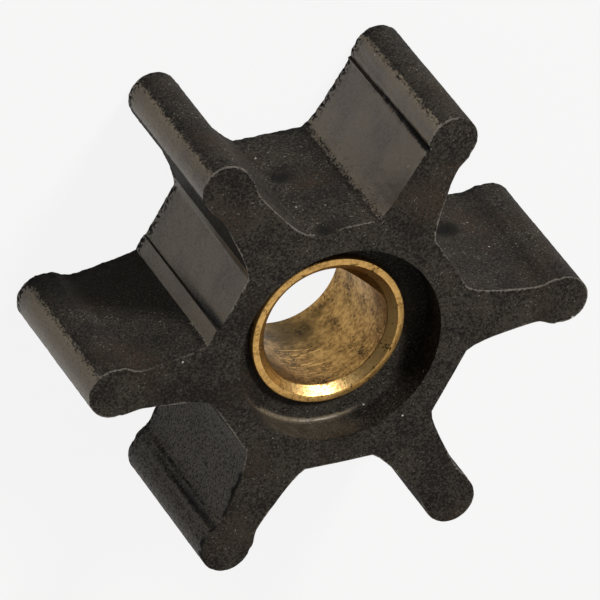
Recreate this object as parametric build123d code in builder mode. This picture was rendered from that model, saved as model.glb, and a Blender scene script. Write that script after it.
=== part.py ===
"""Flexible rubber pump impeller: six bulb-tipped vanes moulded with their hub round a turned brass bush.

Frame: millimetres, +Z along the bore towards the deeper recess, origin on the bore's axis in the back face,
+X along the first vane.
"""
from build123d import *
import os
from math import cos, isclose, radians, sin

# ---------------------------------------------------------------- driving dimensions, in mm and degrees

# Moulded body
body_width = 11.7            # back face to front face
vane_count = 6
hub_across_flats = 16.4      # the hub is a prism with one flat between each two vanes

# Vanes: each thins in a hollow curve from the hub to a neck and ends in a round sealing bulb
bulb_centre_radius = 14.5
bulb_radius = 1.6
neck_setback = 1.9           # bulb centre back to where the vane is thinnest
neck_thickness = 2.4
root_thickness = 4.4         # where the flanks meet the hub flats
flank_hollow = 0.26          # how far each flank bows in between root and neck
root_fillet = 0.4            # hub flat into flank
bulb_fillet = 1.1            # flank into bulb
front_edge_bevel = 0.12      # crisp where the mould parts
back_edge_bevel = 0.3

# Recesses round the bush, one in each end face
recess_gap = 1.55            # bush to recess wall
front_recess_depth = 2.3
back_recess_depth = 2.1
recess_corner_bevel = 0.3    # wall to floor
recess_mouth_chamfer = 0.15

# Brass bush
bore_radius = 4.0
flat_rise = 0.55             # how far the drive flat stands in from the round wall
flat_direction = 48.0        # the flat's place round the bore, from the first vane
bush_wall = 0.95
bush_proud = 0.45            # how far each rim stands out of its recess floor
rim_edge_chamfer = 0.12
front_countersink = 0.5      # width of the slope, out from the round wall
back_countersink = 0.2

# Grip: a straight-knurled band between two grooves, where the rubber is bonded to the bush
groove_width = 0.8
groove_depth = 0.4
groove_setback = 0.6         # recess floor to the nearer side of a groove
knurl_count = 24
knurl_depth = 0.35
knurl_width = 0.6            # width of a knurl's V at the band's surface

# ---------------------------------------------------------------- worked out from the above

bush_radius = bore_radius + bush_wall
flat_distance = bore_radius - flat_rise
front_countersink_radius = bore_radius + front_countersink
back_countersink_radius = bore_radius + back_countersink
recess_radius = bush_radius + recess_gap
neck_radius = bulb_centre_radius - neck_setback
hub_apothem = hub_across_flats / 2
root_radius = (hub_apothem - root_thickness / 2 * sin(radians(180 / vane_count))) / cos(
    radians(180 / vane_count)
)
front_floor = body_width - front_recess_depth
back_floor = back_recess_depth
bush_front = front_floor + bush_proud
bush_back = back_floor - bush_proud
front_groove_top = front_floor - groove_setback
back_groove_bottom = back_floor + groove_setback
knurl_bottom = back_groove_bottom + groove_width
knurl_top = front_groove_top - groove_width

# ---------------------------------------------------------------- outside of the bush

# The bush before it is bored. The rubber is moulded on this shape, so both pieces take their joint from it.
with BuildPart() as bush_blank:
    with BuildSketch(Plane.XZ) as blank_profile:
        with Locations((0, bush_back)):
            Rectangle(bush_radius, bush_front - bush_back, align=(Align.MIN, Align.MIN))
        outer_corners = blank_profile.vertices().group_by(Axis.X)[-1]
        chamfer(outer_corners, rim_edge_chamfer)
        with Locations((bush_radius, back_groove_bottom)):
            Rectangle(groove_depth, groove_width, align=(Align.MAX, Align.MIN), mode=Mode.SUBTRACT)
        with Locations((bush_radius, front_groove_top)):
            Rectangle(groove_depth, groove_width, align=(Align.MAX, Align.MAX), mode=Mode.SUBTRACT)
    revolve(axis=Axis.Z)

    # Straight knurl: V cuts along the band, open into the groove at each end
    with BuildSketch(Plane.XY.offset(knurl_bottom)):
        with PolarLocations(bush_radius, knurl_count):
            Polygon((0, knurl_width / 2), (-knurl_depth, 0), (0, -knurl_width / 2), align=None)
    extrude(amount=knurl_top - knurl_bottom, mode=Mode.SUBTRACT)

# ---------------------------------------------------------------- brass bush

with BuildPart() as brass_bush:
    add(bush_blank.part)

    # D-shaped bore
    with BuildSketch(Plane.XY.offset(bush_back)):
        Circle(bore_radius)
        with Locations(Location((0, 0, 0), (0, 0, flat_direction))):
            with Locations((flat_distance, 0)):
                Rectangle(
                    bore_radius,
                    2 * bore_radius,
                    align=(Align.MIN, Align.CENTER),
                    mode=Mode.SUBTRACT,
                )
    extrude(amount=bush_front - bush_back, mode=Mode.SUBTRACT)

    # 45 degree countersinks, deep enough to clear the flat as well as the round wall
    with BuildSketch(Plane.XZ):
        with BuildLine():
            Polyline(
                (0, bush_front),
                (front_countersink_radius, bush_front),
                (0, bush_front - front_countersink_radius),
                close=True,
            )
        make_face()
        with BuildLine():
            Polyline(
                (0, bush_back),
                (back_countersink_radius, bush_back),
                (0, bush_back + back_countersink_radius),
                close=True,
            )
        make_face()
    revolve(axis=Axis.Z, mode=Mode.SUBTRACT)

# ---------------------------------------------------------------- moulded rubber body

# One vane, from the bore's axis to its bulb, drawn along +X
with BuildSketch() as vane:
    with BuildLine():
        flank = SagittaArc(
            (neck_radius, neck_thickness / 2),
            (root_radius, root_thickness / 2),
            flank_hollow,
        )
        neck = Line(flank @ 0, (bulb_centre_radius, neck_thickness / 2))
        Line(neck @ 1, (bulb_centre_radius, 0))
        root = Line(flank @ 1, (0, root_thickness / 2))
        Line(root @ 1, (0, 0))
        mirror(about=Plane.XZ)
    make_face()
    with Locations((bulb_centre_radius, 0)):
        Circle(bulb_radius)

with BuildPart() as rubber_body:
    with BuildSketch() as outline:
        # Hub: its corners point along the vanes, its flats lie between them
        RegularPolygon(hub_apothem, vane_count, major_radius=False)
        with PolarLocations(0, vane_count):
            add(vane.sketch)
        corners = outline.vertices().sort_by_distance((0, 0, 0))
        root_corners = corners[: 2 * vane_count]
        bulb_corners = corners[4 * vane_count : 6 * vane_count]
        fillet(root_corners, root_fillet)
        fillet(bulb_corners, bulb_fillet)
    extrude(amount=body_width)

    # Fine bevel along the outline of each end face
    chamfer(rubber_body.faces().sort_by(Axis.Z)[-1].edges(), front_edge_bevel)
    chamfer(rubber_body.faces().sort_by(Axis.Z)[0].edges(), back_edge_bevel)

    # Recesses
    with BuildSketch(Plane.XY.offset(body_width)):
        Circle(recess_radius)
    extrude(amount=-front_recess_depth, mode=Mode.SUBTRACT)
    with BuildSketch(Plane.XY):
        Circle(recess_radius)
    extrude(amount=back_recess_depth, mode=Mode.SUBTRACT)

    # Bevelled floor corners, and a fine bevel round their mouths
    recess_edges = rubber_body.edges().filter_by(GeomType.CIRCLE)
    recess_edges = recess_edges.filter_by(lambda edge: isclose(edge.radius, recess_radius))
    back_mouth, back_corner, front_corner, front_mouth = recess_edges.group_by(Axis.Z)
    chamfer(back_corner + front_corner, recess_corner_bevel)
    chamfer(back_mouth + front_mouth, recess_mouth_chamfer)

    # The bush's seat
    add(bush_blank.part, mode=Mode.SUBTRACT)

rubber_body.part.label = "rubber_body"
brass_bush.part.label = "brass_bush"
os.makedirs("parts", exist_ok=True)
export_step(rubber_body.part, "parts/rubber_body.step")
export_step(brass_bush.part, "parts/brass_bush.step")
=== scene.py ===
"""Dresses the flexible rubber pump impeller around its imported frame.

The moulded rubber body and its turned brass bush are each modelled once more at full detail and stand for
the node of the same kind. Sizes in this file are in millimetres and turn to metres where they meet Blender.
Azimuths are in degrees round the bore's axis, anticlockwise from the first vane as seen from the front.
"""
import logging
import math
from collections.abc import Callable, Iterator
from contextlib import contextmanager
from dataclasses import dataclass, fields
from enum import Enum

import bmesh
import bpy
from mathutils import Matrix, Vector, noise


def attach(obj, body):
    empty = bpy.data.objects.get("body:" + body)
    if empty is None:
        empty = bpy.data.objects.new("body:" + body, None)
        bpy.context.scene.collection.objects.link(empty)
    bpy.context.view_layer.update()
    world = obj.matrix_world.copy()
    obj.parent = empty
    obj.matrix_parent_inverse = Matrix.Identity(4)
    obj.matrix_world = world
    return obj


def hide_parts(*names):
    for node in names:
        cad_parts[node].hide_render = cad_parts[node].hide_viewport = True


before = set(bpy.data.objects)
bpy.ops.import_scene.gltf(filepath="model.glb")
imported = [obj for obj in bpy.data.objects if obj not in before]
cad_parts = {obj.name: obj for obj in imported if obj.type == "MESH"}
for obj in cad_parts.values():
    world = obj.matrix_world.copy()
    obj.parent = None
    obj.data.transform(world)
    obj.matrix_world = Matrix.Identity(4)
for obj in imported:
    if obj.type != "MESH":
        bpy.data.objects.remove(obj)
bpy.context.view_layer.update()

LOG = logging.getLogger("impeller")
MM = 0.001
# How near two heights or places are to count as the same when elements are selected.
SAME = 0.01
AXIS = (0.0, 0.0, 0.0)
# The setting of a map range that starts and ends gently.
SMOOTH = {"interpolation_type": "SMOOTHSTEP"}
# The marks painted on the rubber's vertices for its finish, and the vertex group of its nibbled edge.
PAINTED = ("wear_and_highlight", "sheen_share", "painted_sheen", "hollow")
BACK_EDGE = "back_edge"

Tree = bpy.types.NodeTree
Socket = bpy.types.NodeSocket
# A place or direction.
Point = tuple[float, float, float]
# From one value to another.
Span = tuple[float, float]
# A distance or azimuth, and the share that holds there.
Stop = tuple[float, float]
# A distance along a vane, and what its anticlockwise and its clockwise side measure there.
Station = tuple[float, float, float]


class Cut(Enum):
    """What a tool body does to the piece that it meets."""

    ADD = "UNION"
    REMOVE = "DIFFERENCE"


class Element(Enum):
    """The kind of element that a selection in edit mode picks."""

    VERTEX = "verts"
    EDGE = "edges"
    FACE = "faces"


# ------------------------------------------------------------------------------------------------ bench tools


def only(piece: bpy.types.Object) -> None:
    """Makes an object the one selected and active object.

    Args:
        piece: the object.
    """
    bpy.ops.object.select_all(action="DESELECT")
    piece.select_set(True)
    bpy.context.view_layer.objects.active = piece


@contextmanager
def editing(piece: bpy.types.Object) -> Iterator[None]:
    """Keeps an object in edit mode for the length of a with block.

    Args:
        piece: the object.

    Yields:
        Nothing, while the object is in edit mode.
    """
    only(piece)
    bpy.ops.object.mode_set(mode="EDIT")
    yield
    bpy.ops.object.mode_set(mode="OBJECT")


def pick(piece: bpy.types.Object, element: Element, wanted: Callable[[object], bool]) -> None:
    """Selects elements of the piece that is being edited by their place or normal, and nothing else.

    Args:
        piece: the object in edit mode.
        element: which kind of element is tested.
        wanted: says of one element whether it is selected.
    """
    mesh = bmesh.from_edit_mesh(piece.data)
    for part in (mesh.faces, mesh.edges, mesh.verts):
        for item in part:
            item.select = False
    for item in getattr(mesh, element.value):
        if wanted(item):
            item.select_set(True)
    bmesh.update_edit_mesh(piece.data)


def settle(piece: bpy.types.Object) -> bpy.types.Object:
    """Moves an object's place, turn and scale into its mesh.

    Args:
        piece: the object.

    Returns:
        The same object, now at the origin, unturned and unscaled.
    """
    only(piece)
    bpy.ops.object.transform_apply(location=True, rotation=True, scale=True)
    return piece


def drum(radius: float, low: float, high: float, sides: int) -> bpy.types.Object:
    """Adds an upright cylinder on the bore's axis.

    Args:
        radius: corner radius.
        low: height of its lower end.
        high: height of its upper end.
        sides: number of side faces.

    Returns:
        The new object, with its place in its mesh.
    """
    bpy.ops.object.select_all(action="DESELECT")
    bpy.ops.mesh.primitive_cylinder_add(
        vertices=sides, radius=radius * MM, depth=(high - low) * MM, location=(0, 0, (low + high) / 2 * MM)
    )
    return settle(bpy.context.object)


def cone(low_radius: float, high_radius: float, low: float, high: float, sides: int) -> bpy.types.Object:
    """Adds an upright cone frustum on the bore's axis.

    Args:
        low_radius: radius at its lower end.
        high_radius: radius at its upper end.
        low: height of its lower end.
        high: height of its upper end.
        sides: number of side faces.

    Returns:
        The new object, with its place in its mesh.
    """
    bpy.ops.object.select_all(action="DESELECT")
    bpy.ops.mesh.primitive_cone_add(
        vertices=sides,
        radius1=low_radius * MM,
        radius2=high_radius * MM,
        depth=(high - low) * MM,
        location=(0, 0, (low + high) / 2 * MM),
    )
    return settle(bpy.context.object)


def modify(piece: bpy.types.Object, kind: str, **settings: object) -> None:
    """Adds one modifier to the piece, gives it its settings and applies it.

    Args:
        piece: the object to change.
        kind: the modifier's type.
        **settings: the modifier's properties by name.
    """
    modifier = piece.modifiers.new(kind.title(), kind)
    for name, value in settings.items():
        setattr(modifier, name, value)
    only(piece)
    bpy.ops.object.modifier_apply(modifier=modifier.name)


def combine(piece: bpy.types.Object, tool: bpy.types.Object, cut: Cut) -> None:
    """Joins a tool body to the piece or cuts the piece with it.

    Args:
        piece: the object to change.
        tool: the other body, which is used up.
        cut: whether it is added or removed.
    """
    modify(piece, "BOOLEAN", object=tool, operation=cut.value, solver="EXACT")
    bpy.data.objects.remove(tool)


def turn(piece: bpy.types.Object, degrees: float) -> None:
    """Turns the whole mesh of the piece anticlockwise about the bore's axis, seen from the front."""
    piece.rotation_euler.z = math.radians(degrees)
    settle(piece)


def finish_piece(piece: bpy.types.Object, name: str, crease: float, material: bpy.types.Material) -> None:
    """Names a piece, smooths it between its real edges and gives it its material.

    Args:
        piece: the object.
        name: its name.
        crease: the angle in degrees from which an edge stays sharp.
        material: its finish.
    """
    piece.name = piece.data.name = name
    only(piece)
    bpy.ops.object.shade_smooth_by_angle(angle=math.radians(crease))
    piece.data.materials.clear()
    piece.data.materials.append(material)


def eased(amount: float) -> float:
    """A smooth step from 0 to 1."""
    amount = min(1.0, max(0.0, amount))
    return amount * amount * (3 - 2 * amount)


def direction(azimuth: float, elevation: float = 0.0) -> Vector:
    """The unit vector towards an azimuth and elevation in degrees."""
    round_z, up = math.radians(azimuth), math.radians(elevation)
    return Vector((math.cos(round_z) * math.cos(up), math.sin(round_z) * math.cos(up), math.sin(up)))


def bearing(vector: Vector) -> float:
    """The azimuth of a vector in degrees, from 0 to 360."""
    return math.degrees(math.atan2(vector.y, vector.x)) % 360


# ------------------------------------------------------------------------------------------------ finishes


@dataclass(frozen=True)
class Pattern:
    """A cloudy pattern that a finish is drawn from.

    Attributes:
        size: how wide its features are.
        detail: how many steps of finer features it holds.
        squeeze: how far the place is squeezed towards the axis first, which draws the pattern out round it.
    """

    size: float
    detail: float
    squeeze: float = 1.0


def linear(hex_colour: str) -> tuple[float, float, float, float]:
    """Turns an sRGB colour such as "#2b2724" to the linear values that a shader takes."""
    channels = (int(hex_colour[i : i + 2], 16) / 255 for i in (1, 3, 5))
    return tuple(c / 12.92 if c <= 0.04045 else ((c + 0.055) / 1.055) ** 2.4 for c in channels) + (1.0,)


def per_mm(size: float) -> float:
    """The scale of a pattern on Object coordinates, in metres, whose features are size millimetres across."""
    return 1 / (size * MM)


def node(
    tree: Tree, kind: str, links: dict[str | int, object] | None = None, **settings: object
) -> bpy.types.Node:
    """Adds one node to a material's tree.

    Args:
        tree: the node tree.
        kind: the node's type name, without its leading "ShaderNode".
        links: values or output sockets by input name or number.
        **settings: the node's own properties by name.

    Returns:
        The new node.
    """
    made = tree.nodes.new("ShaderNode" + kind)
    for name, value in settings.items():
        setattr(made, name, value)
    for name, value in (links or {}).items():
        if isinstance(value, Socket):
            tree.links.new(value, made.inputs[name])
        else:
            made.inputs[name].default_value = value
    return made


def blank_material(name: str) -> tuple[bpy.types.Material, Tree]:
    """Makes an empty node material.

    Args:
        name: the material's name.

    Returns:
        The material and its tree.
    """
    material = bpy.data.materials.new(name)
    material.use_nodes = True
    material.node_tree.nodes.clear()
    return material, material.node_tree


def draw_maps(tree: Tree, finish: object, marks: tuple[str, ...] = ()) -> dict[str, Socket]:
    """Adds what a finish is drawn from: the place on the piece, its patterns and the marks painted on it.

    Args:
        tree: the material's tree.
        finish: the finish, whose fields of type Pattern are added.
        marks: the vertex attributes that it reads.

    Returns:
        The sockets by name: "place", "normal", each pattern's field and each mark.
    """
    coordinates = node(tree, "TexCoord").outputs
    maps = {"place": coordinates["Object"], "normal": coordinates["Normal"]}
    for name in (item.name for item in fields(finish)):
        pattern = getattr(finish, name)
        if not isinstance(pattern, Pattern):
            continue
        place = maps["place"]
        if pattern.squeeze != 1.0:
            drawn_out = {"Vector": place, "Scale": (pattern.squeeze, pattern.squeeze, 1.0)}
            place = node(tree, "Mapping", drawn_out).outputs[0]
        cloudy = {"Vector": place, "Scale": per_mm(pattern.size), "Detail": pattern.detail}
        maps[name] = node(tree, "TexNoise", cloudy).outputs["Fac"]
    for name in marks:
        maps[name] = node(tree, "Attribute", attribute_name=name).outputs["Fac"]
    return maps


def layer(
    tree: Tree, tone: str | Socket, colour: str | Socket, where: Socket, span: Span, most: float = 1.0
) -> Socket:
    """Lays a colour over a tone wherever a map runs through a span.

    Args:
        tree: the material's tree.
        tone: the colour so far, as a socket or an sRGB hex value.
        colour: what is laid on it, as a socket or an sRGB hex value.
        where: the map that says where it lies.
        span: the map's values at which it starts and is full.
        most: how much it hides the tone where it is full.

    Returns:
        The new colour's socket.
    """
    ends = {"Value": where, "From Min": span[0], "From Max": span[1], "To Max": most}
    amount = node(tree, "MapRange", ends, **SMOOTH).outputs[0]
    under, over = (linear(c) if isinstance(c, str) else c for c in (tone, colour))
    return node(tree, "Mix", {0: amount, 6: under, 7: over}, data_type="RGBA").outputs[2]


@dataclass(frozen=True)
class MouldedRubber:
    """Black nitrile rubber as moulded: a warm black with a grain of dark pits, pale filler and rusty grime.

    The sides facing one azimuth and a stretch of the front recess's wall get a glossy coat, with a lighter
    tone painted under it as sheen. Elsewhere, and in the tears and the hollows, the rubber is matt.

    Attributes:
        name: the material's name.
        dark, light: the ends of the grain's own range.
        sheen, sheen_dim: the lighter tone painted as sheen under the coat, and a dimmer copy of it in
            patches.
        brown: broad patches of perished rubber.
        pale: grains of filler at the surface.
        rust: rusty grime in the grain.
        worn_and_lit: grey wear along the edges, and the painted highlight line in the front recess.
        pit_and_shade: torn pits and nibbles, and painted shade in folds, dimples and at the ledge's foot.
        glint: a painted glint on a grain, and on the brightest spots of the painted highlight line.
        rough: roughness from the darkest to the lightest clouds.
        specular, coat_rough, coat_ior: constants of the rubber and of its coat.
        relief: depth of the coarse grain.
        sheen_facing: azimuth that the sides with the coat and painted sheen mostly face.
        torn_band: the height where the tears along the back edge are full, and where they end.
        glint_spacing: mean distance between bright grains.
        clouds, patches: slow changes of tone, as from uneven cure and handling.
        grain, coarse: the fine grain, and the coarse one that is felt.
        filler, grime: where filler and rusty grime show.
        ragged, tears: the ragged outline of the coat and painted sheen, and the tears along the back edge.
    """

    name: str = "moulded_nitrile_rubber"
    dark: str = "#1b1815"
    light: str = "#3f3a33"
    skin: str = "#7a6b53"
    sheen_dim: str = "#55452f"
    brown: str = "#2e2720"
    pale: str = "#8b867d"
    rust: str = "#443529"
    worn_and_lit: str = "#79736a"
    pit_and_shade: str = "#12100e"
    glint: str = "#cfcac0"
    rough: Span = (0.7, 0.85)
    specular: float = 0.12
    coat_rough: float = 0.38
    coat_ior: float = 1.52
    relief: float = 0.05
    sheen_facing: float = 165.0
    torn_band: Span = (0.25, 0.8)
    glint_spacing: float = 1.4
    clouds: Pattern = Pattern(2.2, 3.0)
    patches: Pattern = Pattern(3.5, 1.0)
    # The real grit is under 0.1 mm, too fine to show, so its patterns are drawn up to three times as coarse.
    grain: Pattern = Pattern(0.14, 2.0)
    coarse: Pattern = Pattern(0.26, 2.0)
    filler: Pattern = Pattern(0.12, 1.0)
    grime: Pattern = Pattern(0.18, 1.0)
    ragged: Pattern = Pattern(0.4, 2.0)
    tears: Pattern = Pattern(0.22, 0.0)

    def build(self) -> bpy.types.Material:
        """Builds the node material.

        Returns:
            The material.
        """
        material, tree = blank_material(self.name)
        maps = draw_maps(tree, self, PAINTED)
        torn = self._torn(tree, maps)
        skin = self._coat_and_sheen(tree, maps, torn)
        tone = self._tone(tree, maps, skin)
        tone = node(tree, "Mix", {0: torn, 6: tone, 7: linear(self.pit_and_shade)}, data_type="RGBA").outputs[2]
        low, high = self.rough
        rough = {"Value": maps["clouds"], "From Min": 0.3, "From Max": 0.7, "To Min": low, "To Max": high}
        relief = {"Height": maps["coarse"], "Strength": 1.0, "Distance": self.relief * MM}
        relief = node(tree, "Bump", relief).outputs[0]
        # The finest pores are shallower where the coat and painted sheen are full.
        sunk = node(tree, "MapRange", {"Value": skin, "To Min": 1.0, "To Max": 0.3}).outputs[0]
        depth = self.relief / 2 * MM
        pores = {"Height": maps["grain"], "Strength": sunk, "Distance": depth, "Normal": relief}
        surface = {
            "Base Color": tone,
            "Roughness": node(tree, "MapRange", rough).outputs[0],
            "Specular IOR Level": self.specular,
            "Normal": node(tree, "Bump", pores).outputs[0],
            "Coat Weight": skin,
            "Coat Roughness": self.coat_rough,
            "Coat IOR": self.coat_ior,
        }
        shader = node(tree, "BsdfPrincipled", surface)
        node(tree, "OutputMaterial", {"Surface": shader.outputs[0]})
        return material

    def _tone(self, tree: Tree, maps: dict[str, Socket], skin: Socket) -> Socket:
        """The rubber's colour before the torn pits.

        Args:
            tree: the material's tree.
            maps: what the finish is drawn from.
            sheen: the share of the coat and of the painted sheen.

        Returns:
            The colour's socket.
        """
        grained = {0: 0.65, 2: maps["clouds"], 3: maps["grain"]}
        grained = node(tree, "Mix", grained, data_type="FLOAT").outputs[0]
        tone = layer(tree, self.dark, self.light, grained, (0.38, 0.62))
        tone = layer(tree, tone, self.brown, maps["patches"], (0.48, 0.68), 0.4)
        # Painted sheen: a lighter tone, dimmer in patches, laid with the coat.
        painted_sheen = layer(tree, self.skin, self.sheen_dim, maps["patches"], (0.42, 0.66), 0.7)
        tone = layer(tree, tone, painted_sheen, skin, (0.1, 0.7))
        grime = node(tree, "Math", {0: maps["grime"], 1: maps["patches"]}, operation="MULTIPLY").outputs[0]
        tone = layer(tree, tone, self.rust, grime, (0.35, 0.41), 0.5)
        pale = {0: self._filler(tree, maps), 6: tone, 7: linear(self.pale)}
        tone = node(tree, "Mix", pale, data_type="RGBA").outputs[2]
        # Painted shade in the folds, the dimples and at the ledge's foot, and the dark nibbled front edge.
        tone = layer(tree, tone, self.pit_and_shade, maps["hollow"], (0.15, 0.95), 0.95)
        broken = {"Value": maps["grain"], "From Min": 0.3, "From Max": 0.55, "To Min": 0.6}
        broken = node(tree, "MapRange", broken).outputs[0]
        # Grey wear on the edges, and a painted highlight line with painted glints at the recess wall's foot.
        lit_and_rubbed = node(tree, "Math", {0: maps["wear_and_highlight"], 1: broken}, operation="MULTIPLY").outputs[0]
        tone = layer(tree, tone, self.worn_and_lit, lit_and_rubbed, (0.35, 0.9), 0.9)
        tone = layer(tree, tone, self.glint, lit_and_rubbed, (1.0, 1.2))
        return self._glints(tree, maps, tone)

    def _filler(self, tree: Tree, maps: dict[str, Socket]) -> Socket:
        """Where pale grains of filler lie: in drifts, and closer on the sides than on the end faces.

        Args:
            tree: the material's tree.
            maps: what the finish is drawn from.

        Returns:
            The socket of their cover.
        """
        upright = node(tree, "SeparateXYZ", {"Vector": maps["normal"]}).outputs["Z"]
        upright = node(tree, "Math", {0: upright}, operation="ABSOLUTE").outputs[0]
        closer = node(tree, "MapRange", {"Value": upright, "To Min": 0.04, "To Max": 0.0}).outputs[0]
        grains = node(tree, "Math", {0: maps["filler"], 1: closer}, operation="ADD").outputs[0]
        grains = {"Value": grains, "From Min": 0.67, "From Max": 0.79, "To Max": 0.8}
        grains = node(tree, "MapRange", grains, **SMOOTH).outputs[0]
        drifts = {"Value": maps["clouds"], "From Min": 0.42, "From Max": 0.6, "To Min": 0.35}
        drifts = node(tree, "MapRange", drifts).outputs[0]
        return node(tree, "Math", {0: grains, 1: drifts}, operation="MULTIPLY").outputs[0]

    def _coat_and_sheen(self, tree: Tree, maps: dict[str, Socket], torn: Socket) -> Socket:
        """How much coat and painted sheen there is, on the sides facing one way and in the front recess.

        Args:
            tree: the material's tree.
            maps: what the finish is drawn from.
            torn: where the back edge's tears are.

        Returns:
            The socket of the sheen's share.
        """
        grain = maps["grain"]
        # Sides that face one azimuth get the coat and the painted sheen, with a ragged edge.
        facing = {0: maps["normal"], 1: direction(self.sheen_facing)}
        side = node(tree, "VectorMath", facing, operation="DOT_PRODUCT").outputs["Value"]
        side = node(tree, "Math", {0: maps["ragged"], 1: 0.22, 2: side}, operation="MULTIPLY_ADD").outputs[0]
        side = node(tree, "Math", {0: grain, 1: 0.25, 2: side}, operation="MULTIPLY_ADD").outputs[0]
        side = {"Value": side, "From Min": 0.93, "From Max": 1.13}
        side = node(tree, "MapRange", side, **SMOOTH).outputs[0]
        side = node(tree, "Math", {0: side, 1: maps["sheen_share"]}, operation="MULTIPLY").outputs[0]
        # Where the vertices give little sheen, the grain breaks up the coat and the painted sheen more.
        closed = {"Value": maps["sheen_share"], "From Min": 0.35, "To Min": 0.1, "To Max": 0.72}
        closed = node(tree, "MapRange", closed).outputs[0]
        whole = {"Value": grain, "From Min": 0.33, "From Max": 0.55, "To Min": closed}
        whole = node(tree, "MapRange", whole).outputs[0]
        side = node(tree, "Math", {0: side, 1: whole}, operation="MULTIPLY").outputs[0]
        side = node(tree, "Math", {0: side, 1: maps["painted_sheen"]}, operation="MAXIMUM").outputs[0]
        folded = node(tree, "MapRange", {"Value": maps["hollow"], "From Max": 0.7}, **SMOOTH).outputs[0]
        gone = node(tree, "Math", {0: torn, 1: folded}, operation="MAXIMUM").outputs[0]
        left = node(tree, "Math", {0: 1.0, 1: gone}, operation="SUBTRACT").outputs[0]
        return node(tree, "Math", {0: side, 1: left}, operation="MULTIPLY").outputs[0]

    def _torn(self, tree: Tree, maps: dict[str, Socket]) -> Socket:
        """The torn pits in a low band along the back edge of the sides.

        Args:
            tree: the material's tree.
            maps: what the finish is drawn from.

        Returns:
            The socket of their cover.
        """
        full, end = self.torn_band
        height = node(tree, "SeparateXYZ", {"Vector": maps["place"]}).outputs["Z"]
        band = {"Value": height, "From Min": end * MM, "From Max": full * MM}
        band = node(tree, "MapRange", band).outputs[0]
        tears = {"Value": maps["tears"], "From Min": 0.48, "From Max": 0.56}
        tears = node(tree, "MapRange", tears, **SMOOTH).outputs[0]
        return node(tree, "Math", {0: tears, 1: band}, operation="MULTIPLY").outputs[0]

    def _glints(self, tree: Tree, maps: dict[str, Socket], tone: Socket) -> Socket:
        """Scatters painted glints: a few bright grains about a tenth of a millimetre across.

        Args:
            tree: the material's tree.
            maps: what the finish is drawn from.
            tone: the colour so far.

        Returns:
            The new colour's socket.
        """
        cells = {"Vector": maps["place"], "Scale": per_mm(self.glint_spacing)}
        cells = node(tree, "TexVoronoi", cells).outputs
        spot = {"Value": cells["Distance"], "From Min": 0.06, "From Max": 0.03}
        spot = node(tree, "MapRange", spot).outputs[0]
        chosen = {"Value": cells["Color"], "From Min": 0.5, "From Max": 0.8}
        chosen = node(tree, "MapRange", chosen, **SMOOTH).outputs[0]
        spot = node(tree, "Math", {0: spot, 1: chosen}, operation="MULTIPLY").outputs[0]
        return node(tree, "Mix", {0: spot, 6: tone, 7: linear(self.glint)}, data_type="RGBA").outputs[2]


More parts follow.
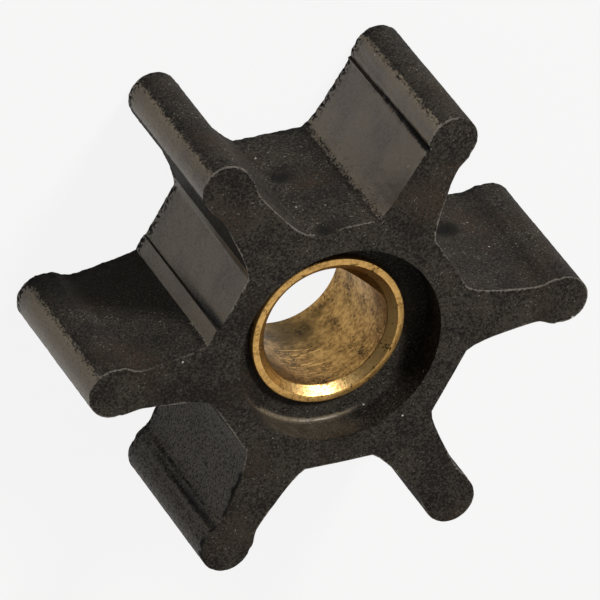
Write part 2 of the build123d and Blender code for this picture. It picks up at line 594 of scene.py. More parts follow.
@dataclass(frozen=True)
class TurnedBrass:
    """Free-cutting brass, turned and bored: a soft gold, dulled by tarnish and pricked with dark corrosion.

    Attributes:
        name: the material's name.
        bright, tarnish: clean metal, and the same under tarnish.
        bore: the darker brown laid on the bore's wall.
        dull: a dark patch laid low on the bore's wall.
        lip: the bore's front edge, laid lighter as a painted highlight.
        stain: pricks of corrosion.
        tool_mark: grime in the tool marks.
        rough: roughness from clean to tarnished metal.
        relief: depth of the tool marks and of the corrosion.
        bore_wall: radii at which the bore's film is full and at which it ends.
        lip_start: radii between which the bright lip starts.
        lip_low, lip_high: heights between which it starts and between which it ends.
        dull_at, dull_reach: the dark patch's middle, and where it is full and ends.
        lit_rings_at, lit_rings_reach: the same for the rings that the shaft wore, painted bright as
            highlights.
        waver: how far a patch's edge wanders either way.
        clouds, mottle: slow changes of tone, and the tarnish's mottle.
        specks: pricks of corrosion.
        rings, marks: the rings of the painted highlights, which the shaft wore, and the boring tool's marks.
    """

    name: str = "turned_brass"
    bright: str = "#ecbd72"
    tarnish: str = "#b0864a"
    bore: str = "#826231"
    dull: str = "#463617"
    lip: str = "#ecc481"
    stain: str = "#33250f"
    tool_mark: str = "#5e4722"
    rough: Span = (0.28, 0.46)
    relief: float = 0.02
    bore_wall: Span = (4.05, 4.25)
    lip_start: Span = (4.02, 4.06)
    lip_low: Span = (9.32, 9.36)
    lip_high: Span = (9.8, 9.84)
    dull_at: Point = (0.2, -3.95, 3.3)
    dull_reach: Span = (0.9, 3.4)
    lit_rings_at: Point = (-0.6, -3.9, 6.8)
    lit_rings_reach: Span = (0.8, 3.0)
    waver: float = 1.25
    clouds: Pattern = Pattern(1.1, 5.0)
    mottle: Pattern = Pattern(0.24, 2.0)
    specks: Pattern = Pattern(0.16, 1.0)
    # Marks that run round the bore. A boring tool's feed is about 0.05 mm, so they are drawn twice as coarse.
    rings: Pattern = Pattern(0.12, 1.0, 0.16)
    marks: Pattern = Pattern(0.11, 2.0, 0.06)

    def build(self) -> bpy.types.Material:
        """Builds the node material.

        Returns:
            The material.
        """
        material, tree = blank_material(self.name)
        maps = draw_maps(tree, self)
        mixed = {0: 0.55, 2: maps["clouds"], 3: maps["mottle"]}
        mixed = node(tree, "Mix", mixed, data_type="FLOAT").outputs[0]
        flat = {0: maps["place"], 1: (1.0, 1.0, 0.0)}
        flat = node(tree, "VectorMath", flat, operation="MULTIPLY").outputs[0]
        radius = node(tree, "VectorMath", {0: flat}, operation="LENGTH").outputs["Value"]
        tone = layer(tree, self.bright, self.tarnish, mixed, (0.42, 0.7))
        tone = self._bore_tone(tree, maps, radius, tone)
        # Painted highlight: the front lip is laid lighter, so that its gleam shows whiter.
        tone = layer(tree, tone, self.lip, self._lip(tree, maps, radius), (0.0, 1.0), 0.8)
        pricked = node(tree, "Math", {0: maps["specks"], 1: maps["clouds"]}, operation="MULTIPLY").outputs[0]
        tone = layer(tree, tone, self.stain, pricked, (0.33, 0.39), 0.8)
        tone = layer(tree, tone, self.tool_mark, maps["marks"], (0.55, 0.75), 0.35)
        low, high = self.rough
        rough = {"Value": mixed, "From Min": 0.3, "From Max": 0.7, "To Min": low, "To Max": high}
        relief = {"Height": maps["marks"], "Strength": 0.6, "Distance": self.relief * MM}
        relief = node(tree, "Bump", relief).outputs[0]
        pits = {"Height": maps["mottle"], "Strength": 0.6, "Distance": self.relief * MM, "Normal": relief}
        surface = {
            "Base Color": tone,
            "Metallic": 1.0,
            "Roughness": node(tree, "MapRange", rough).outputs[0],
            "Normal": node(tree, "Bump", pits).outputs[0],
        }
        shader = node(tree, "BsdfPrincipled", surface)
        node(tree, "OutputMaterial", {"Surface": shader.outputs[0]})
        return material

    def _bore_tone(self, tree: Tree, maps: dict[str, Socket], radius: Socket, tone: Socket) -> Socket:
        """Dulls the bore's wall, darkens it low down and paints the rings that the shaft wore bright as
        highlights.

        Args:
            tree: the material's tree.
            maps: what the finish is drawn from.
            radius: the distance from the bore's axis, in metres.
            tone: the colour so far.

        Returns:
            The new colour's socket.
        """
        full, end = self.bore_wall
        inside = {"Value": radius, "From Min": end * MM, "From Max": full * MM}
        inside = node(tree, "MapRange", inside).outputs[0]
        film = {0: 0.5, 2: maps["clouds"], 3: maps["mottle"]}
        film = node(tree, "Mix", film, data_type="FLOAT").outputs[0]
        film = {"Value": film, "From Min": 0.3, "From Max": 0.65, "To Min": 0.45}
        film = node(tree, "MapRange", film).outputs[0]
        film = node(tree, "Math", {0: inside, 1: film}, operation="MULTIPLY").outputs[0]
        tone = node(tree, "Mix", {0: film, 6: tone, 7: linear(self.bore)}, data_type="RGBA").outputs[2]
        dulled = self._near(tree, maps, self.dull_at, self.dull_reach)
        dulled = node(tree, "Math", {0: dulled, 1: inside}, operation="MULTIPLY").outputs[0]
        tone = layer(tree, tone, self.dull, dulled, (0.0, 1.0), 0.85)
        # Painted highlights: bright rings round the bore, in one patch of it.
        rings = {"Value": maps["rings"], "From Min": 0.56, "From Max": 0.66}
        rings = node(tree, "MapRange", rings, **SMOOTH).outputs[0]
        lit_and_rubbed = self._near(tree, maps, self.lit_rings_at, self.lit_rings_reach)
        lit_and_rubbed = node(tree, "Math", {0: lit_and_rubbed, 1: rings}, operation="MULTIPLY").outputs[0]
        lit_and_rubbed = node(tree, "Math", {0: lit_and_rubbed, 1: inside}, operation="MULTIPLY").outputs[0]
        return layer(tree, tone, self.bright, lit_and_rubbed, (0.0, 1.0), 0.75)

    def _lip(self, tree: Tree, maps: dict[str, Socket], radius: Socket) -> Socket:
        """Where the front lip with its painted highlight lies, between the bore and the rim.

        Args:
            tree: the material's tree.
            maps: what the finish is drawn from.
            radius: the distance from the bore's axis, in metres.

        Returns:
            The socket of its cover.
        """
        height = node(tree, "SeparateXYZ", {"Vector": maps["place"]}).outputs["Z"]
        low, high = self.lip_start
        lip = {"Value": radius, "From Min": low * MM, "From Max": high * MM}
        lip = node(tree, "MapRange", lip).outputs[0]
        low, high = self.lip_low
        above = {"Value": height, "From Min": low * MM, "From Max": high * MM}
        above = node(tree, "MapRange", above, **SMOOTH).outputs[0]
        lip = node(tree, "Math", {0: lip, 1: above}, operation="MULTIPLY").outputs[0]
        low, high = self.lip_high
        below = {"Value": height, "From Min": high * MM, "From Max": low * MM}
        below = node(tree, "MapRange", below).outputs[0]
        return node(tree, "Math", {0: lip, 1: below}, operation="MULTIPLY").outputs[0]

    def _near(self, tree: Tree, maps: dict[str, Socket], middle: Point, reach: Span) -> Socket:
        """A soft-edged patch round a point, with an edge that wanders with the clouds.

        Args:
            tree: the material's tree.
            maps: what the finish is drawn from.
            middle: the patch's middle.
            reach: the distances at which it is full and at which it ends.

        Returns:
            The socket of its cover.
        """
        full, end = reach
        distance = {0: maps["place"], 1: Vector(middle) * MM}
        distance = node(tree, "VectorMath", distance, operation="DISTANCE").outputs["Value"]
        distance = {0: maps["clouds"], 1: -2 * self.waver * MM, 2: distance}
        distance = node(tree, "Math", distance, operation="MULTIPLY_ADD").outputs[0]
        distance = node(tree, "Math", {0: distance, 1: self.waver * MM}, operation="ADD").outputs[0]
        cover = {"Value": distance, "From Min": end * MM, "From Max": full * MM}
        return node(tree, "MapRange", cover).outputs[0]


@dataclass(frozen=True)
class StudioFloor:
    """Matt white card. The camera, gloss and glass see it near white, and part of the object's shadow stays.

    Attributes:
        name: the material's name.
        card: the card's own colour, which takes the shadow.
        glow: what is seen in its place.
        glow_share: how much of that is seen.
    """

    name: str = "white_card"
    card: str = "#b8b6b4"
    glow: str = "#fdfdfd"
    glow_share: float = 0.9

    def build(self) -> bpy.types.Material:
        """Builds the node material.

        Returns:
            The material.
        """
        material, tree = blank_material(self.name)
        diffuse = node(tree, "BsdfDiffuse", {"Color": linear(self.card)})
        glow = node(tree, "Emission", {"Color": linear(self.glow), "Strength": 1.0})
        rays = node(tree, "LightPath").outputs
        seen = node(tree, "Math", {0: rays["Is Camera Ray"], 1: rays["Is Glossy Ray"]}, operation="MAXIMUM")
        seen = node(tree, "Math", {0: seen.outputs[0], 1: rays["Is Transmission Ray"]}, operation="MAXIMUM")
        share = node(tree, "Math", {0: seen.outputs[0], 1: self.glow_share}, operation="MULTIPLY")
        mix = node(tree, "MixShader", {0: share.outputs[0], 1: diffuse.outputs[0], 2: glow.outputs[0]})
        node(tree, "OutputMaterial", {"Surface": mix.outputs[0]})
        return material


# ------------------------------------------------------------------------------------------------ brass bush


@dataclass(frozen=True)
class BrassBush:
    """The turned bush that the rubber is moulded round, with its D-shaped bore.

    Attributes:
        sides: number of side faces of each round part.
        radius, low, high: the outside's radius and the heights of its ends.
        rim_bevel: width of the bevel round both ends.
        bore_radius: radius of the bore's round wall.
        flat_distance, flat_direction: how far the drive flat lies from the axis, and its azimuth.
        front_countersink, back_countersink: width of the cone at each mouth.
        countersink_root: how far inside the bore's wall the countersinks' cones start.
        overshoot: how far a cone reaches past the bush.
        bore_overshoot: how far the bore's cutter reaches past it.
        grooves, groove_depth: heights of each grip groove's ends, and their depth.
        knurl_count, knurl_depth: number and depth of the cuts between the grooves.
        knurl_shape: share of the depth in the columns of vertices from a cut's middle outwards.
        smooth_angle: the angle from which an edge stays sharp.
    """

    sides: int = 192
    radius: float = 4.95
    low: float = 1.65
    high: float = 9.85
    rim_bevel: float = 0.12
    bore_radius: float = 4.0
    flat_distance: float = 3.45
    flat_direction: float = 48.0
    front_countersink: float = 0.5
    back_countersink: float = 0.2
    countersink_root: float = 0.7
    overshoot: float = 0.3
    bore_overshoot: float = 1.0
    grooves: tuple[Span, ...] = ((2.7, 3.5), (8.0, 8.8))
    groove_depth: float = 0.4
    knurl_count: int = 24
    knurl_depth: float = 0.35
    knurl_shape: tuple[float, ...] = (1.0, 0.5)
    smooth_angle: float = 24.0

    def blank(self) -> bpy.types.Object:
        """Turns the bush's outside, with the grooves and the knurl that the rubber grips, before it is bored.

        Returns:
            The blank.
        """
        piece = drum(self.radius, self.low, self.high, self.sides)
        with editing(piece):
            pick(piece, Element.EDGE, lambda edge: abs(edge.verts[0].co.z - edge.verts[1].co.z) < SAME * MM)
            bpy.ops.mesh.bevel(offset=self.rim_bevel * MM, segments=3, affect="EDGES")
            for height in sorted(sum(self.grooves, ())):
                bpy.ops.mesh.select_all(action="SELECT")
                bpy.ops.mesh.bisect(plane_co=(0, 0, height * MM), plane_no=(0, 0, 1))
            for low, high in self.grooves:
                self._groove(piece, (low + high) / 2 * MM)
            self._knurl(piece)
        return piece

    def _groove(self, piece: bpy.types.Object, middle: float) -> None:
        """Sinks one grip groove.

        Args:
            piece: the blank, in edit mode.
            middle: height of the groove's middle, in metres.
        """

        def in_groove(face: bmesh.types.BMFace) -> bool:
            """Whether a side face lies in the groove."""
            return abs(face.calc_center_median().z - middle) < SAME * MM and abs(face.normal.z) < 0.5

        pick(piece, Element.FACE, in_groove)
        shrink = 1 - self.groove_depth / self.radius
        bpy.ops.mesh.extrude_region_move()
        bpy.ops.transform.resize(value=(shrink, shrink, 1), center_override=(0, 0, middle))

    def _knurl(self, piece: bpy.types.Object) -> None:
        """Presses the straight V-shaped knurl into the band between the grooves.

        Args:
            piece: the blank, in edit mode.
        """
        low, high = (self.grooves[0][1] - SAME) * MM, (self.grooves[1][0] + SAME) * MM
        pitch = self.sides // self.knurl_count
        for step, share in enumerate(self.knurl_shape):

            def in_cut(vertex: bmesh.types.BMVert) -> bool:
                """Whether a vertex lies in a column of this depth.

                Args:
                    vertex: the vertex.

                Returns:
                    True where it lies on the band's outside, in such a column of a cut.
                """
                column = round(math.atan2(vertex.co.y, vertex.co.x) / math.tau * self.sides) % pitch
                on_outside = vertex.co.xy.length > (self.radius - SAME) * MM
                return low < vertex.co.z < high and on_outside and column in (step, (pitch - step) % pitch)

            pick(piece, Element.VERTEX, in_cut)
            shrink = 1 - self.knurl_depth * share / self.radius
            bpy.ops.transform.resize(value=(shrink, shrink, 1), center_override=AXIS)

    def _bore_tool(self) -> bpy.types.Object:
        """Makes the D-shaped body that the bore is cut with.

        Returns:
            The cutter.
        """
        past = self.bore_overshoot
        tool = drum(self.bore_radius, self.low - past, self.high + past, self.sides)
        outwards = direction(self.flat_direction)
        flat = {"plane_co": outwards * self.flat_distance * MM, "plane_no": outwards}
        with editing(tool):
            bpy.ops.mesh.select_all(action="SELECT")
            bpy.ops.mesh.bisect(**flat, clear_outer=True, use_fill=True)
        return tool

    def build(self) -> bpy.types.Object:
        """Bores and countersinks the blank and dresses it.

        Returns:
            The finished bush, which stands for its CAD node.
        """
        piece = self.blank()
        combine(piece, self._bore_tool(), Cut.REMOVE)
        past = self.overshoot
        root = self.bore_radius - self.countersink_root
        front = self.bore_radius + self.front_countersink
        back = self.bore_radius + self.back_countersink
        front_tool = cone(root, front + past, self.high - (front - root), self.high + past, self.sides)
        combine(piece, front_tool, Cut.REMOVE)
        back_tool = cone(back + past, root, self.low - past, self.low + (back - root), self.sides)
        combine(piece, back_tool, Cut.REMOVE)
        finish_piece(piece, "bush", self.smooth_angle, TurnedBrass().build())
        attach(piece, "root")
        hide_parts("brass_bush")
        return piece


# ------------------------------------------------------------------------------------------------ rubber body


@dataclass(frozen=True)
class Fold:
    """The crease that bending leaves across a vane's side, at the foot of its bulb.

    Attributes:
        at: its distance from the bore's axis.
        shape: distance and share of the depth of each station across it.
        swell_start, swell_length: where the bulb starts to swell past it, and over what length.
        bottom_half: half width of its bottom.
        shade_half: half width of its painted shade.
        full_depth: the depth from which its painted shade is as dark as it gets.
        open_back: how much of the depth opens out again at the back edge.
    """

    at: float = 13.5
    shape: tuple[Stop, ...] = (
        (12.9, 0.0),
        (13.15, 0.1),
        (13.35, 0.4),
        (13.5, 1.0),
        (13.6, 0.8),
        (13.75, 0.1),
        (13.9, 0.0),
    )
    swell_start: float = 13.45
    swell_length: float = 0.5
    bottom_half: float = 0.2
    shade_half: float = 0.42
    full_depth: float = 0.25
    open_back: float = 0.9


@dataclass(frozen=True)
class Vane:
    """One vane's own set, left by the mould and by use.

    Attributes:
        angle: its direction round the hub.
        neck: half its thickness at the neck.
        neck_lean: how far the neck stands off the radial line, anticlockwise.
        bulb: the bulb's radius.
        bulb_lean: how far the bulb stands off the radial line, anticlockwise.
        crease: how deep the fold between neck and bulb is, on the anticlockwise side.
        crease_right: the same on the clockwise side.
        ledge: how far the root stands proud of the hub, on the clockwise side.
        chewed: whether the clockwise side's front edge is nibbled.
        fold: the fold's form.
        ledge_foot: where the ledge's foot lies, along the vane.
        ledge_side: where it lies on the clockwise side, off the radial line.
        ledge_dark: how far off the radial line its shade is darkest.
        ledge_fade: over what length the shade fades from there.
        ledge_shade: how dark it is at most.
        ledge_end, ledge_off: how far along the vane the ledge reaches, and how far off the radial line it
            lies at least.
        ledge_eased: how far its edge is drawn in at the back face.
        blade: where the vane's free part lies, along the vane.
        spot: size of the spots that dirt and nibbles break up into.
        nibble_depth: how far down the front edge is nibbled.
    """

    angle: float
    neck: float
    neck_lean: float
    bulb: float
    bulb_lean: float
    crease: float = 0.0
    crease_right: float = 0.0
    ledge: float = 0.0
    chewed: bool = False
    fold: Fold = Fold()
    ledge_foot: Span = (7.0, 7.95)
    ledge_side: Span = (-3.8, -2.9)
    ledge_dark: float = -2.95
    ledge_fade: float = 0.8
    ledge_shade: float = 0.6
    ledge_end: float = 8.6
    ledge_off: float = 1.9
    ledge_eased: Point = (-0.06, 0.06, 0.0)
    blade: Span = (9.5, 16.0)
    spot: float = 0.5
    nibble_depth: float = 0.3

    def hollow_share(self, place: Vector, width: float) -> float:
        """How dark a place is: painted shade in the fold and at the ledge's foot, and the nibbled front edge.

        Args:
            place: a vertex's place, in metres.
            width: the moulding's width.

        Returns:
            From 0 for plain rubber to 1 for the darkest hollow.
        """
        at = place.dot(direction(self.angle)) / MM
        off = place.dot(direction(self.angle + 90.0)) / MM
        height = place.z / MM
        low, high = self.ledge_side
        if self.ledge and low < off < high and self.ledge_foot[0] < at < self.ledge_foot[1]:
            # Painted shadow that the ledge casts on the hub flat beside it, darker towards the front.
            shade = eased(1.0 - (self.ledge_dark - off) / self.ledge_fade)
            return shade * eased(height / width) * self.ledge_shade
        if abs(off) < self.neck / 2 or not self.blade[0] < at < self.blade[1]:
            return 0.0
        broken = noise.noise(place / (self.spot * MM))
        # Painted shade in the fold, darker towards the front.
        depth = self.crease if off > 0 else self.crease_right
        share = min(1.0, depth / self.fold.full_depth)
        share *= eased(1.0 - abs(at - self.fold.at) / self.fold.shade_half)
        share *= eased(0.15 + 1.0 * height / width + 0.5 * broken)
        if self.chewed and off < 0:
            share = max(share, eased(0.9 + 1.6 * broken - (width - height) / self.nibble_depth))
        return share


@dataclass(frozen=True)
class Dimple:
    """A shallow round hollow that a mould pin left in a side.

    Attributes:
        at: its middle, on the surface.
        facing: the azimuth that the surface faces.
        depth: how deep it is.
        wide: its half width.
    """

    at: Point
    facing: float
    depth: float
    wide: float

    def share(self, place: Vector) -> float:
        """How deep in the mark a place in the mesh lies, from 0 outside to 1 at its middle, as painted shade.
        """
        return eased(1.2 - (place / MM - Vector(self.at)).length / self.wide) * 0.8

    def build(self) -> bpy.types.Object:
        """Makes the ball that cuts it.

        Returns:
            The cutter.
        """
        radius = (self.wide**2 + self.depth**2) / (2 * self.depth)
        middle = Vector(self.at) + direction(self.facing) * (radius - self.depth)
        bpy.ops.object.select_all(action="DESELECT")
        bpy.ops.mesh.primitive_uv_sphere_add(
            segments=48, ring_count=24, radius=radius * MM, location=middle * MM, rotation=(0.1, 0.2, 0.0)
        )
        return settle(bpy.context.object)


@dataclass(frozen=True)
class Roughness:
    """One kind of unevenness that is pressed into the mesh.

    Attributes:
        name: what it is.
        size: how wide its features are.
        strength: how far they stand in and out together.
        group: the vertex group that it keeps to, if any.
    """

    name: str
    size: float
    strength: float
    group: str = ""


@dataclass(frozen=True)
class RubberBody:
    """The hub and its six vanes, one moulding.

    Attributes:
        width: from the back face to the front face.
        hub_apothem: from the bore's axis to the middle of a hub flat.
        root_start: distance from the axis at which a vane starts, inside the hub.
        root_half: half a vane's thickness at the hub.
        flank: how much of what the root has over the neck is left at each distance from the axis.
        neck_at, bulb_at: distances from the axis of the neck and of the bulb's middle.
        swell_start, swell_length: where the bulb starts to swell, and over what length.
        bulb_turns: the angles of the stations round the bulb.
        ledge_steps: how far out from the hub each station past the ledge lies, and how far its sides draw in.
        vanes: each vane's own set.
        dimples: the mould pins' marks.
        recess_radius, recess_corner: the recesses' radius and the bevel at their floor.
        front_recess, back_recess: their depths.
        recess_sides: number of a recess's side faces.
        overshoot: how far a recess's cutter reaches past the end face.
        cell, octree: mesh size of the remeshed body, and the depth of the grid that it is cut from.
        smooth_angle: the angle from which an edge stays sharp.
        outside: distance from the axis past which a vertex belongs to the outside and not to the recess.
        nibbled, nibble_fade: height that the nibbled back edge reaches, and over which it fades.
        face_tilt, face_nibbled: how far down a normal points on the back face, and the share nibbled there.
        flat_tilt: the upward part of a normal from which a place is on a flat face and holds no hollow.
        edge_band, edge_tilt: how far down a front edge reaches, and the upward parts of its normals.
        wear_patch: how wide the worn stretches of the front edge are.
        marks_facing, marks_half: azimuth of the painted light in the recess, and half the angle that they
            span.
        foot_inset, foot_half: how far the painted highlight line at the wall's foot lies in from the wall,
        and its half width.
        foot_high: the height above the recess floor that the line stays under.
        wall_top: how far under the recess's mouth the wall's painted sheen ends.
        fleck: size of the flecks in the painted highlight line and sheen.
        sheen_left: the share of the coat and painted sheen on a side past each azimuth.
        bare_facing, bare_end: the azimuths that a side with little sheen faces, and how far round the hub
            they go.
        bare_sheen: the share of the coat and painted sheen on them.
        roughness: the unevenness of the real surface, coarsest first.
    """

    width: float = 11.7
    hub_apothem: float = 8.2
    root_start: float = 6.6
    root_half: float = 2.2
    flank: tuple[Stop, ...] = (
        (8.2, 1.0),
        (8.7, 0.72),
        (9.3, 0.53),
        (10.0, 0.37),
        (11.0, 0.21),
        (12.0, 0.06),
        (12.6, 0.0),
    )
    neck_at: float = 12.6
    bulb_at: float = 14.5
    swell_start: float = 12.8
    swell_length: float = 1.2
    bulb_turns: tuple[float, ...] = (-14, 0, 15, 30, 43, 55, 66, 75, 83)
    ledge_steps: tuple[Station, ...] = ((0.3, 0.15, 0.15), (0.65, 0.27, 0.34))
    vanes: tuple[Vane, ...] = (
        Vane(0, 1.23, 0.0, 1.57, -0.07),
        Vane(60, 1.34, 0.25, 1.54, 0.21, crease=0.2),
        Vane(120, 1.34, 0.11, 1.58, 0.15),
        Vane(180, 1.32, 0.12, 1.62, -0.02, ledge=0.75),
        Vane(240, 1.30, -0.02, 1.62, -0.04, crease_right=0.1, chewed=True),
        Vane(300, 1.42, 0.07, 1.61, 0.05),
    )
    dimples: tuple[Dimple, ...] = (
        Dimple((-1.22, 8.2, 4.8), 90.0, 0.2, 1.05),
        Dimple((-1.0, 8.2, 11.3), 90.0, 0.2, 1.0),
        Dimple((10.05, 1.6, 4.0), 90.0, 0.2, 1.35),
    )
    recess_radius: float = 6.5
    recess_corner: float = 0.3
    front_recess: float = 2.3
    back_recess: float = 2.1
    recess_sides: int = 180
    overshoot: float = 1.0
    cell: float = 0.19
    octree: int = 8
    smooth_angle: float = 38.0
    outside: float = 7.2
    nibbled: float = 1.0
    nibble_fade: float = 0.6
    face_tilt: float = -0.98
    face_nibbled: float = 0.1
    flat_tilt: float = 0.9
    edge_band: float = 0.1
    edge_tilt: Span = (0.3, 0.97)
    wear_patch: float = 2.5
    marks_facing: float = 254.0
    marks_half: float = 27.0
    foot_inset: float = 0.13
    foot_half: float = 0.2
    foot_high: float = 0.45
    wall_top: float = 0.15
    fleck: float = 0.8
    sheen_left: tuple[Stop, ...] = ((285.0, 0.0), (200.0, 0.42), (90.0, 0.88), (35.0, 1.0), (-1.0, 0.0))
    bare_facing: Span = (194.0, 300.0)
    bare_end: float = 160.0
    bare_sheen: float = 0.1
    roughness: tuple[Roughness, ...] = (
        Roughness("ripple", 3.0, 0.03),
        Roughness("grit", 0.35, 0.03),
        Roughness("nibble", 0.4, 0.12, BACK_EDGE),
    )

    def _stations(self, vane: Vane) -> list[Station]:
        """The places along a vane where its thickness changes.

        Args:
            vane: the vane's own set.

        Returns:
            From the hub to the tip, each one's distance from the bore's axis and the distances of the
            anticlockwise and the clockwise side from the radial line.
        """
        spots = []
        for at, share in self.flank:
            half = vane.neck + share * (self.root_half - vane.neck)
            lean = vane.neck_lean * eased((at - self.hub_apothem) / (self.neck_at - self.hub_apothem))
            spots.append((at, lean + half, half - lean))
        if vane.ledge:
            at, left, right = spots[0]
            spots[0] = (at - 0.2, left, right + vane.ledge)
            spots[1:2] = [(at + out, left - one, right - other) for out, one, other in self.ledge_steps]
        base_left, base_right = vane.neck + vane.neck_lean, vane.neck - vane.neck_lean
        swell_left = vane.bulb + vane.bulb_lean - vane.neck - vane.neck_lean
        swell_right = vane.bulb - vane.bulb_lean - vane.neck + vane.neck_lean
        for at, share in vane.fold.shape:
            plain = eased((at - self.swell_start) / self.swell_length)
            folded = eased((at - vane.fold.swell_start) / vane.fold.swell_length)
            left = base_left + (folded if vane.crease else plain) * swell_left - share * vane.crease
            right = base_right + plain * swell_right - share * vane.crease_right
            spots.append((at, left, right))
        for turned in map(math.radians, self.bulb_turns):
            half = vane.bulb * math.cos(turned)
            at = self.bulb_at + vane.bulb * math.sin(turned)
            spots.append((at, half + vane.bulb_lean, half - vane.bulb_lean))
        return spots

    def _vane(self, vane: Vane) -> bpy.types.Object:
        """Draws one vane out of the hub, station by station, and turns it to its place.

        Args:
            vane: the vane's own set.

        Returns:
            The vane.
        """
        middle = self.width / 2 * MM
        spots = [(at, (left + right) / 2, (left - right) / 2) for at, left, right in self._stations(vane)]
        at, half, lean = spots[0]
        bpy.ops.object.select_all(action="DESELECT")
        bpy.ops.mesh.primitive_cube_add(
            size=1,
            location=((self.root_start + at) / 2 * MM, lean * MM, middle),
            scale=((at - self.root_start) * MM, 2 * half * MM, self.width * MM),
        )
        piece = settle(bpy.context.object)
        with editing(piece):
            pick(piece, Element.FACE, lambda face: face.normal.x > 0.9)
            for new_at, new_half, new_lean in spots[1:]:
                step = ((new_at - at) * MM, (new_lean - lean) * MM, 0)
                bpy.ops.mesh.extrude_region_move(TRANSFORM_OT_translate={"value": step})
                bpy.ops.transform.resize(
                    value=(1, new_half / half, 1), center_override=(new_at * MM, new_lean * MM, middle)
                )
                at, half, lean = new_at, new_half, new_lean
            self._ease_back_edge(piece, vane)
        turn(piece, vane.angle)
        return piece

    def _ease_back_edge(self, piece: bpy.types.Object, vane: Vane) -> None:
        """Draws the ledge in and opens the folds out where they run into the back face.

        Args:
            piece: the vane along the X axis, in edit mode.
            vane: the vane's own set.
        """

        def shift(along: Span, side: int, off: float, step: Point) -> None:
            """Moves some vertices of the back face.

            Args:
                along: the span along the vane that they lie in.
                side: 1 for the anticlockwise side of the radial line, -1 for the clockwise side.
                off: how far off the radial line they lie at least.
                step: how far they move.
            """

            def on_edge(vertex: bmesh.types.BMVert) -> bool:
                """Whether a vertex is one of them."""
                at, across, height = vertex.co / MM
                return height < SAME and along[0] < at < along[1] and across * side > off

            pick(piece, Element.VERTEX, on_edge)
            bpy.ops.transform.translate(value=tuple(part * MM for part in step))

        if vane.ledge:
            shift((0.0, vane.ledge_end), -1, vane.ledge_off, vane.ledge_eased)
        for side, depth in ((1, vane.crease), (-1, vane.crease_right)):
            if depth:
                bottom = (vane.fold.at - vane.fold.bottom_half, vane.fold.at + vane.fold.bottom_half)
                shift(bottom, side, 0.0, (0, side * vane.fold.open_back * depth, 0))

    def _recess_tool(self, low: float, high: float, floor: float) -> bpy.types.Object:
        """Makes a cutter for one recess, with a bevelled edge at its floor.

        Args:
            low: height of the cutter's lower end.
            high: height of its upper end.
            floor: height of the recess floor.

        Returns:
            The cutter.
        """

        def at_floor(edge: bmesh.types.BMEdge) -> bool:
            """Whether an edge lies round the floor."""
            return all(abs(vertex.co.z - floor * MM) < SAME * MM for vertex in edge.verts)

        tool = drum(self.recess_radius, low, high, self.recess_sides)
        with editing(tool):
            pick(tool, Element.EDGE, at_floor)
            bpy.ops.mesh.bevel(offset=self.recess_corner * MM, segments=4, affect="EDGES")
        return tool

    def build(self, bush: BrassBush) -> bpy.types.Object:
        """Moulds the body round the bush and dresses it.

        Args:
            bush: the bush whose outside the seat takes.

        Returns:
            The finished body, which stands for its CAD node.
        """
        piece = drum(self.hub_apothem / math.cos(math.radians(30)), 0, self.width, 6)
        turn(piece, 30)
        for vane in self.vanes:
            combine(piece, self._vane(vane), Cut.ADD)
        floor = self.width - self.front_recess
        combine(piece, self._recess_tool(floor, self.width + self.overshoot, floor), Cut.REMOVE)
        combine(piece, self._recess_tool(-self.overshoot, self.back_recess, self.back_recess), Cut.REMOVE)
        for dimple in self.dimples:
            combine(piece, dimple.build(), Cut.REMOVE)
        combine(piece, bush.blank(), Cut.REMOVE)
        scale = max(piece.dimensions) / MM / (2**self.octree * self.cell)
        even = {"mode": "SHARP", "octree_depth": self.octree, "scale": scale}
        modify(piece, "REMESH", **even, use_remove_disconnected=False)
        self._paint(piece)
        self._roughen(piece)
        finish_piece(piece, "body", self.smooth_angle, MouldedRubber().build())
        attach(piece, "root")
        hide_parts("rubber_body")
        return piece

    def _paint(self, piece: bpy.types.Object) -> None:
        """Marks the coat and painted sheen, wear on edges, painted highlight and shade, and the nibbled back
        edge.

        Args:
            piece: the remeshed body.
        """
        mesh = piece.data
        edge = piece.vertex_groups.new(name=BACK_EDGE)
        shares: dict[str, list[float]] = {name: [] for name in PAINTED}
        for vertex in mesh.vertices:
            height = vertex.co.z / MM
            tilt = vertex.normal.z
            outside = vertex.co.xy.length > self.outside * MM
            if height < self.nibbled and outside:
                nibble = eased((self.nibbled - height) / self.nibble_fade)
                share = nibble * (1.0 if tilt > self.face_tilt else self.face_nibbled)
                edge.add([vertex.index], share, "REPLACE")
            on_edge = height > self.width - self.edge_band and self.edge_tilt[0] < tilt < self.edge_tilt[1]
            patch = noise.noise(vertex.co / (self.wear_patch * MM)) * 0.8
            foot, wall = self._recess_marks(vertex.co)
            marks = [dimple.share(vertex.co) for dimple in self.dimples]
            marks += [vane.hollow_share(vertex.co, self.width) for vane in self.vanes]
            # Painted shade in dimples, folds and at the ledge's foot, and the dark nibbled edge; none on
            # flats.
            hollow = max(marks) if tilt < self.flat_tilt else 0.0
            wear = eased(0.75 + patch) * (1.0 if outside else 0.4 + 0.4 * min(1.0, 3 * wall)) * (1.0 - hollow)
            # Wear on the front edges; elsewhere the painted highlight line at the recess wall's foot.
            shares["wear_and_highlight"].append(wear if on_edge else foot)
            # Coat and painted sheen on the recess wall.
            shares["painted_sheen"].append(wall)
            # Coat and painted sheen on the sides, by azimuth.
            shares["sheen_share"].append(self._sheen_at(vertex) if outside else 0.0)
            shares["hollow"].append(hollow)
        for name, values in shares.items():
            mesh.attributes.new(name, "FLOAT", "POINT").data.foreach_set("value", values)

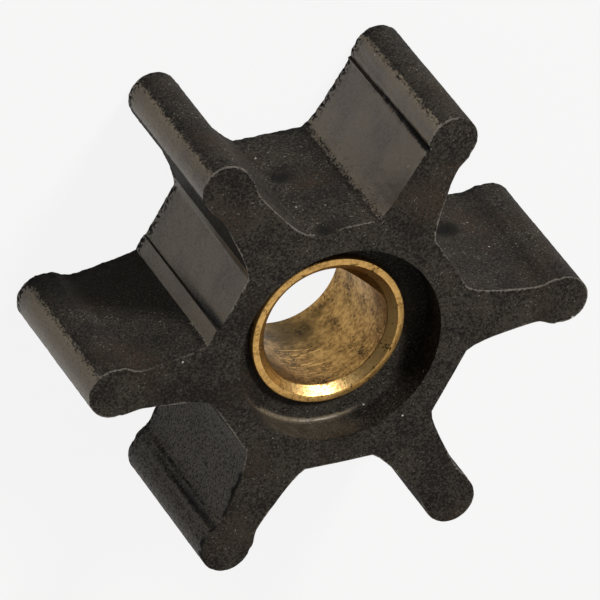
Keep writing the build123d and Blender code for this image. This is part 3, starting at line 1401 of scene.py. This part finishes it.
    def _recess_marks(self, place: Vector) -> tuple[float, float]:
        """Painted highlight and sheen in the front recess, on the side towards the fifth and sixth vanes.

        Args:
            place: a vertex's place, in metres.

        Returns:
            How bright the painted highlight at the wall's foot is, and the wall's coat and painted sheen.
        """
        outwards = place.xy.length / MM - self.recess_radius
        above = place.z / MM - (self.width - self.front_recess)
        near = eased(1.7 - abs(bearing(place) - self.marks_facing) / self.marks_half)
        if above <= 0 or not -self.recess_corner - 0.25 < outwards < 0.12:
            return 0.0, 0.0
        line = 1.0 - abs(outwards + self.foot_inset) / self.foot_half
        foot = eased(line) if above < self.foot_high else 0.0
        flecks = noise.noise(place / (self.fleck * MM)) * 0.9
        wall = near * (0.26 + 0.08 * flecks) if above < self.front_recess - self.wall_top else 0.0
        return near * foot * (0.6 + flecks), max(wall, 0.7 * near * foot)

    def _sheen_at(self, vertex: bpy.types.MeshVertex) -> float:
        """How much painted sheen a side gets: most between the second and fourth vanes, less at the fifth,
        else none.

        Args:
            vertex: a vertex on the outside.

        Returns:
            The share of the coat and painted sheen that it gets.
        """
        azimuth = bearing(vertex.co)
        low, high = self.bare_facing
        if azimuth < self.bare_end and low < bearing(vertex.normal) < high:
            return self.bare_sheen
        return next(share for start, share in self.sheen_left if azimuth > start)

    def _roughen(self, piece: bpy.types.Object) -> None:
        """Gives the smooth moulding the grit, ripples and nibbled back edge of the real one.

        Args:
            piece: the painted body.
        """
        for kind in self.roughness:
            texture = bpy.data.textures.new(kind.name, "CLOUDS")
            texture.noise_scale = kind.size * MM
            texture.noise_depth = 2
            lifted = {"strength": kind.strength * MM, "mid_level": 0.5, "vertex_group": kind.group}
            modify(piece, "DISPLACE", texture=texture, texture_coords="LOCAL", **lifted)


# ------------------------------------------------------------------------------------------------ studio


@dataclass(frozen=True)
class Softbox:
    """A large soft lamp that faces the part.

    Attributes:
        name: the lamp's name.
        azimuth: its direction round the bore's axis, from the first vane.
        elevation: its height above the floor, as an angle.
        distance: from the part's middle.
        side: its width.
        tall: its height.
        power: in watts.
    """

    name: str
    azimuth: float
    elevation: float
    distance: float
    side: float
    tall: float
    power: float

    def build(self, centre: Vector) -> bpy.types.Object:
        """Hangs the lamp and turns it to the part.

        Args:
            centre: the part's middle, in metres.

        Returns:
            The lamp.
        """
        away = direction(self.azimuth, self.elevation)
        data = bpy.data.lights.new(self.name, "AREA")
        data.shape = "RECTANGLE"
        data.size = self.side * MM
        data.size_y = self.tall * MM
        data.energy = self.power
        lamp = bpy.data.objects.new(self.name, data)
        lamp.location = centre + away * self.distance * MM
        lamp.rotation_mode = "QUATERNION"
        lamp.rotation_quaternion = away.to_track_quat("Z", "Y")
        bpy.context.scene.collection.objects.link(lamp)
        return lamp


@dataclass(frozen=True)
class Screen:
    """A broad pale screen among the surroundings, which lights softly and shows in gloss and metal.

    Attributes:
        azimuth: direction of its middle round the bore's axis, from the first vane.
        elevation: height of its middle above the floor, as an angle.
        outer: where it has faded out, as an angle from its middle.
        inner: where it starts to fade.
        strength: brightness at its middle, where 1 is white.
    """

    azimuth: float
    elevation: float
    outer: float
    inner: float
    strength: float


@dataclass(frozen=True)
class Studio:
    """Floor, lamps, surroundings and camera.

    Attributes:
        floor_half: half the floor's width.
        floor_height: a hair under the back face, whose rough surface would otherwise dip into the floor.
        sky, sky_strength: colour and brightness of the dim room all round.
        screens: the pale screens in it.
        lamps: the lamps.
        lamp_aim: the height on the bore's axis that the lamps face.
        camera_at: the camera's place.
        camera_right, camera_down: the directions that lie to the right and downwards in its view.
        lens, sensor: its focal length and sensor width.
        clip: the nearest and farthest distance that it sees, in metres.
    """

    floor_half: float = 900.0
    floor_height: float = -0.06
    sky: str = "#fffdfa"
    sky_strength: float = 0.12
    screens: tuple[Screen, ...] = (Screen(302.0, 51.0, 50.0, 15.0, 0.6),)
    lamps: tuple[Softbox, ...] = (Softbox("front_softbox", 56.0, 38.0, 320.0, 55.0, 55.0, 0.9),)
    lamp_aim: float = 6.0
    camera_at: Point = (-210.71, 333.5, 500.4)
    camera_right: Point = (0.9228, 0.0113, 0.3852)
    camera_down: Point = (-0.1943, -0.8496, 0.4904)
    lens: float = 633.9
    sensor: float = 36.0
    clip: Span = (0.01, 10.0)

    def build(self) -> None:
        """Sets the whole studio up."""
        self._floor()
        self._surroundings()
        centre = Vector((0, 0, self.lamp_aim)) * MM
        for lamp in self.lamps:
            lamp.build(centre)
        self._camera()
        bpy.context.scene.view_settings.view_transform = "Standard"

    def _floor(self) -> None:
        """Lays the floor that the part stands on."""
        bpy.ops.object.select_all(action="DESELECT")
        low = self.floor_height * MM
        bpy.ops.mesh.primitive_plane_add(size=2 * self.floor_half * MM, location=(0, 0, low))
        floor = settle(bpy.context.object)
        floor.name = "floor"
        floor.data.materials.append(StudioFloor().build())

    def _surroundings(self) -> None:
        """Surrounds the part with a dim room that holds the pale screens."""
        world = bpy.data.worlds.new("studio")
        bpy.context.scene.world = world
        world.use_nodes = True
        tree = world.node_tree
        tree.nodes.clear()
        towards = node(tree, "TexCoord").outputs["Generated"]
        light = self.sky_strength
        for screen in self.screens:
            middle = direction(screen.azimuth, screen.elevation)
            near = node(tree, "VectorMath", {0: towards, 1: middle}, operation="DOT_PRODUCT").outputs["Value"]
            edge = {
                "Value": near,
                "From Min": math.cos(math.radians(screen.outer)),
                "From Max": math.cos(math.radians(screen.inner)),
                "To Max": screen.strength,
            }
            shown = node(tree, "MapRange", edge, **SMOOTH).outputs[0]
            light = node(tree, "Math", {0: shown, 1: light}, operation="ADD").outputs[0]
        sky = node(tree, "Background", {"Color": linear(self.sky), "Strength": light})
        node(tree, "OutputWorld", {"Surface": sky.outputs[0]})

    def _camera(self) -> None:
        """Places the camera and makes it the scene's own."""
        right = Vector(self.camera_right).normalized()
        back = right.cross(-Vector(self.camera_down)).normalized()
        up = back.cross(right)
        data = bpy.data.cameras.new("camera")
        data.sensor_width = self.sensor
        data.lens = self.lens
        data.clip_start, data.clip_end = self.clip
        camera = bpy.data.objects.new("camera", data)
        camera.location = Vector(self.camera_at) * MM
        camera.rotation_mode = "QUATERNION"
        camera.rotation_quaternion = Matrix((right, up, back)).transposed().to_quaternion()
        bpy.context.scene.collection.objects.link(camera)
        bpy.context.scene.camera = camera


def main() -> None:
    """Builds the bush, the body and the studio in order."""
    logging.basicConfig(level=logging.INFO, format="%(name)s: %(message)s")
    bush = BrassBush()
    for piece in (bush.build(), RubberBody().build(bush)):
        LOG.info("%s: %d faces", piece.name, len(piece.data.polygons))
    Studio().build()
    LOG.info("studio ready")


if __name__ == "__main__":
    main()
